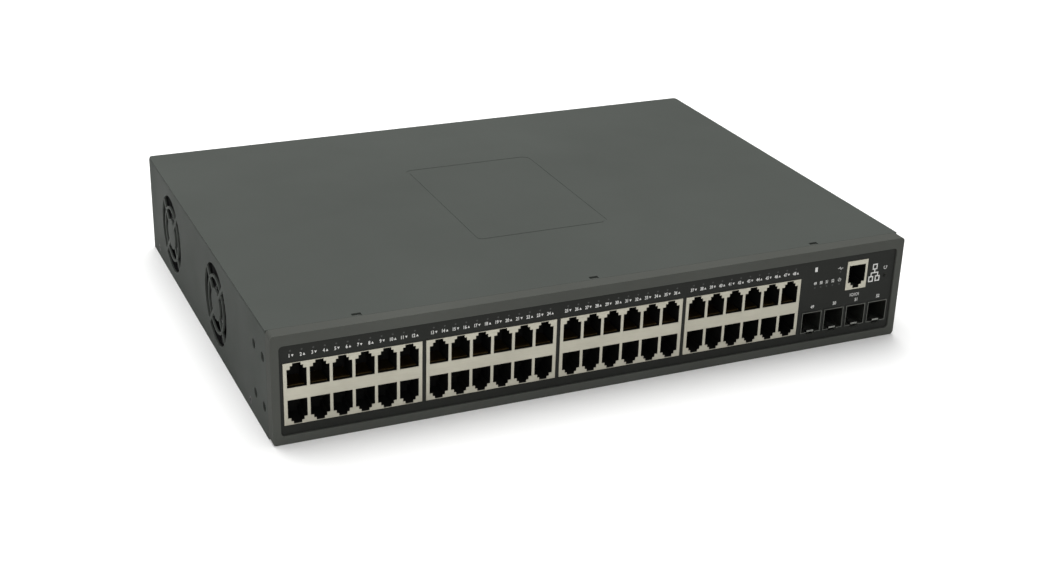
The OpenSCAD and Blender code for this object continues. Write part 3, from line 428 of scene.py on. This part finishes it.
soften(["top_cover"], 0.3)
soften(["base_tray", "rear_panel"], 0.25)
soften(["front_bezel"], 0.55, 3)
soften(["front_overlay"], 0.06, 1)
soften(["jack_shields", "console_shield"], 0.08)
soften([f"sfp_cage_{i}" for i in range(1, SFP_SLOTS + 1)], 0.08)
soften([f"sfp_latch_{i}" for i in range(1, SFP_SLOTS + 1)], 0.1)
soften(["power_inlet"], 0.3, 3)
soften(["inlet_pins"], 0.3)
soften(["fan_frame_1", "fan_frame_2"], 0.3)
soften(["fan_rotor_1", "fan_rotor_2"], 0.2)
soften(["cover_screws", "ground_screw", "countersunk_screws"], 0.1)


# ---- Tools for the added pieces ----

def finished(name, shape, slot_name, material=None):
    """Makes an object of a bmesh, gives it its finish and lets it ride on the case."""
    mesh = bpy.data.meshes.new(name)
    bmesh.ops.recalc_face_normals(shape, faces=shape.faces)
    shape.to_mesh(mesh)
    shape.free()
    mesh.materials.append(material or FINISHES[slot_name])
    obj = bpy.data.objects.new(name, mesh)
    bpy.context.scene.collection.objects.link(obj)
    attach(obj, CASE)


def prism(shape, outline, front, back):
    """A solid from an outline of (x, z) points, seen from the front, between two depths along Y."""
    near = [shape.verts.new((x, front, z)) for x, z in outline]
    far = [shape.verts.new((x, back, z)) for x, z in outline]
    shape.faces.new(near)
    shape.faces.new(reversed(far))
    for i in range(len(outline)):
        j = (i + 1) % len(outline)
        shape.faces.new((near[i], far[i], far[j], near[j]))


def arc(centre, radius, start, end, steps=16):
    """Points round a centre, between two angles in degrees."""
    angles = [math.radians(start + (end - start) * i / steps) for i in range(steps + 1)]
    return [(centre[0] + radius * math.cos(a), centre[1] + radius * math.sin(a)) for a in angles]


# ---- Print on the film and on the back ----

INK_DEPTH = 0.02 * MM
SOCKET_PITCH = 13.97 * MM
FIGURE_HEIGHT = 0.7                # of a figure in text of size 1
FIGURE_BOLDNESS = 0.035            # how far its outline is moved out, for a height of 1
film_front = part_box("front_overlay")[0].y
back_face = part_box("rear_panel")[1].y
FILM = (film_front - INK_DEPTH, film_front)
BACK = (back_face, back_face + INK_DEPTH)

# The status lamps stand to the left of the console socket.
console_low, console_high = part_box("console_shield")
lamp_row = console_low.z + 5.6 * MM
SLOT_LAMPS = [(console_low.x - (24.4 - 4.6 * i) * MM, lamp_row) for i in range(SFP_SLOTS)]
POWER_LAMP = (console_low.x - 5.3 * MM, lamp_row)
ACTIVITY_LAMP = (POWER_LAMP[0], lamp_row + 8.8 * MM)

INK = ink("white_ink", (0.62, 0.62, 0.6))
DIM_INK = ink("lamp_window", (0.024, 0.025, 0.023))


def write(shape, text, x, z, height, width=1.0):
    """Adds generic figures, such as a port's number, centred on a place on the film."""
    curve = bpy.data.curves.new("figures", "FONT")
    curve.body = text
    curve.align_x = "CENTER"
    curve.align_y = "CENTER"
    curve.size = height / FIGURE_HEIGHT
    curve.offset = height * FIGURE_BOLDNESS
    curve.extrude = INK_DEPTH / 2
    writing = bpy.data.objects.new("figures", curve)
    mesh = writing.to_mesh()
    upright = Matrix.Rotation(math.radians(90), 4, "X")
    squeezed = Matrix.Diagonal((width, 1, 1, 1))
    at = Matrix.Translation((x, film_front - INK_DEPTH / 2, z))
    mesh.transform(at @ upright @ squeezed)
    shape.from_mesh(mesh)
    writing.to_mesh_clear()
    bpy.data.objects.remove(writing)
    bpy.data.curves.remove(curve)


def stamp(shape, outline, face=FILM):
    """A printed area, as deep as the ink."""
    prism(shape, outline, face[0], face[1])


def triangle(shape, x, z, size, up):
    """A printed arrow that points up or down."""
    tip = size / 2 if up else -size / 2
    stamp(shape, [(x - size / 2, z - tip), (x + size / 2, z - tip), (x, z + tip)])


def stroke(shape, start, end, width=0.32 * MM, face=FILM):
    """A straight printed line."""
    across = Vector((start[1] - end[1], end[0] - start[0])).normalized() * width / 2
    corners = [(start[0] + across.x, start[1] + across.y), (end[0] + across.x, end[1] + across.y),
               (end[0] - across.x, end[1] - across.y), (start[0] - across.x, start[1] - across.y)]
    stamp(shape, corners, face)


def line(shape, points):
    """A printed line with corners."""
    for start, end in zip(points, points[1:]):
        stroke(shape, start, end)


def ring(shape, centre, radius, start=0, end=359.9, width=0.32 * MM, face=FILM):
    """A printed circle, open by a hair, or part of one between two angles."""
    outer = arc(centre, radius + width / 2, start, end, 24)
    inner = arc(centre, radius - width / 2, end, start, 24)
    stamp(shape, outer + inner, face)


def port_column(port):
    """Where along X a port's number and lamp stand. Upper and lower sockets take turns from left to right."""
    block, i = divmod(port, 2 * COLUMNS)
    low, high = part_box(f"jack_housing_{block + 1}")
    return (low.x + high.x) / 2 + (i - COLUMNS + 0.5) * SOCKET_PITCH / 2


def port_print():
    """Each port's number and the arrow to its row, above its column of sockets."""
    label_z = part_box("jack_shields")[1].z + 4.6 * MM
    figure = 2.2 * MM
    arrow = 1.5 * MM
    shape = bmesh.new()
    for port in range(PORTS):
        number = str(port + 1)
        x = port_column(port)
        spread = 1.1 * MM if len(number) > 1 else 0.8 * MM
        write(shape, number, x - spread + 0.15 * MM, label_z, figure, 0.78)
        triangle(shape, x + spread + 0.5 * MM, label_z, arrow, port % 2 == 1)
    finished("port_numbers", shape, None, INK)


def lamp_windows():
    """The film's unlit windows, one for each port lamp and status lamp."""
    window = 0.6 * MM
    port_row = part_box("light_pipes")[1].z - 0.9 * MM
    places = [(port_column(port), port_row) for port in range(PORTS)]
    shape = bmesh.new()
    for place in places + SLOT_LAMPS + [POWER_LAMP, ACTIVITY_LAMP]:
        stamp(shape, arc(place, window, 0, 340, 17))
    finished("lamp_windows", shape, None, DIM_INK)


def status_print():
    """The right-hand end of the film: figures and plain signs beside the lamps, slots and console socket."""
    shape = bmesh.new()
    slot_numbers(shape)
    activity_sign(shape)
    power_sign(shape)
    serial_sign(shape)
    colour_patch(shape)
    restart_sign(shape)
    network_sign(shape, (console_high.x + 6.3 * MM, (console_low.z + console_high.z) / 2 - 0.8 * MM))
    finished("status_symbols", shape, None, INK)


def slot_numbers(shape):
    """The numbers of the SFP slots, above their lamps and above the slots themselves."""
    for i, lamp in enumerate(SLOT_LAMPS):
        number = str(PORTS + 1 + i)
        write(shape, number, lamp[0], lamp[1] + 3 * MM, 2.1 * MM, 0.72)
        low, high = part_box(f"sfp_cage_{i + 1}")
        write(shape, number, (low.x + high.x) / 2, high.z + 3.5 * MM, 2.3 * MM, 0.8)


def activity_sign(shape):
    """A pulse above the activity lamp."""
    x, z = ACTIVITY_LAMP
    steps = [(-2, 0), (-1, 0), (-0.5, 1.1), (0.3, -1.1), (0.8, 0), (2, 0)]
    line(shape, [(x + dx * MM, z + (2.6 + dz) * MM) for dx, dz in steps])


def power_sign(shape):
    """A broken ring with a stroke through its gap, above the power lamp."""
    x, z = POWER_LAMP
    ring(shape, (x, z + 3.1 * MM), 1.05 * MM, 125, 415)
    stroke(shape, (x, z + 3.1 * MM), (x, z + 4.6 * MM))


def serial_sign(shape):
    """Ones and zeros in turn, below the console socket."""
    middle = Vector(((console_low.x + console_high.x) / 2, console_low.z - 4.2 * MM))
    pitch = 1.7 * MM
    half = 1.1 * MM
    for side in (-2, 0, 2):
        stroke(shape, middle + Vector((side * pitch, -half)), middle + Vector((side * pitch, half)))
    for side in (-1, 1):
        ring(shape, middle + Vector((side * pitch, 0)), 0.95 * MM)


def colour_patch(shape):
    """A small printed rectangle above the slot lamps."""
    x, z = SLOT_LAMPS[0][0] - 0.2 * MM, SLOT_LAMPS[0][1] + 13.2 * MM
    stamp(shape, [(x + dx * MM, z + dz * MM) for dx, dz in ((-1, -1.6), (1, -1.6), (1, 1.6), (-1, 1.6))])


def restart_sign(shape):
    """A turning arrow above the reset hole."""
    low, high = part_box("reset_plunger")
    centre = Vector(((low.x + high.x) / 2, high.z + 3.6 * MM))
    ring(shape, centre, 1.1 * MM, 100, 390)
    stamp(shape, [centre + Vector(point) * MM for point in ((0.45, 0.35), (1.75, 0.35), (1.1, 1.35))])


def network_sign(shape, centre):
    """The plain sign for a wired network: one box above two, joined by lines."""
    x, z = centre
    pen = 0.8 * MM
    wide, tall = 1.5 * MM, 1.7 * MM
    drop, side_step = 4.4 * MM, 2.6 * MM
    box_edge = drop - tall - pen / 2
    for box_x, box_z in ((x, z + drop), (x - side_step, z - drop), (x + side_step, z - drop)):
        for side in (-1, 1):
            level = box_z + side * tall
            stroke(shape, (box_x - wide - pen / 2, level), (box_x + wide + pen / 2, level), pen)
            upright = box_x + side * wide
            stroke(shape, (upright, box_z - tall + pen / 2), (upright, box_z + tall - pen / 2), pen)
    stroke(shape, (x, z + box_edge), (x, z + pen / 2), pen)
    stroke(shape, (x - side_step - pen / 2, z), (x + side_step + pen / 2, z), pen)
    for side in (-side_step, side_step):
        stroke(shape, (x + side, z - pen / 2), (x + side, z - box_edge), pen)


def earth_sign():
    """The plain sign for earth, printed on the back beside the stud."""
    low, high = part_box("ground_screw")
    centre = Vector(((low.x + high.x) / 2, (low.z + high.z) / 2 - 10.5 * MM))
    shape = bmesh.new()
    ring(shape, centre, 3.4 * MM, width=0.4 * MM, face=BACK)
    stroke(shape, centre + Vector((0, 2.2 * MM)), centre, 0.4 * MM, BACK)
    for drop, half in ((0, 2.1), (0.9, 1.4), (1.8, 0.7)):
        level = centre - Vector((0, drop * MM))
        stroke(shape, level - Vector((half * MM, 0)), level + Vector((half * MM, 0)), 0.4 * MM, BACK)
    finished("earth_sign", shape, None, INK)


# ---- Liners of the sockets ----

def notch_liners():
    """The black floors of the latch notches, which hide the shields' sheet above and below each block."""
    low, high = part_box("jack_shields")
    sheet = 0.4 * MM
    liner = 0.3 * MM
    gap = 0.03 * MM
    half_width = 4 * MM
    depth = (low.y + sheet + gap, low.y + 15 * MM)
    shape = bmesh.new()
    for block in range(BLOCKS):
        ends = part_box(f"jack_housing_{block + 1}")
        middle = (ends[0].x + ends[1].x) / 2
        for i in range(COLUMNS):
            x = middle + (i - (COLUMNS - 1) / 2) * SOCKET_PITCH
            for z in (low.z + sheet + gap, high.z - sheet - gap - liner):
                outline = [(x - half_width, z), (x + half_width, z),
                           (x + half_width, z + liner), (x - half_width, z + liner)]
                prism(shape, outline, depth[0], depth[1])
    finished("notch_liners", shape, "jack_plastic")


port_print()
lamp_windows()
status_print()
earth_sign()
notch_liners()

# ---- Scene ----

studio()
floor()
look_from(azimuth=-24.52, elevation=24.19, roll=1.82, distance=1.1703,
          target=(0.006, -0.0166, 0.0078), lens=56.24)
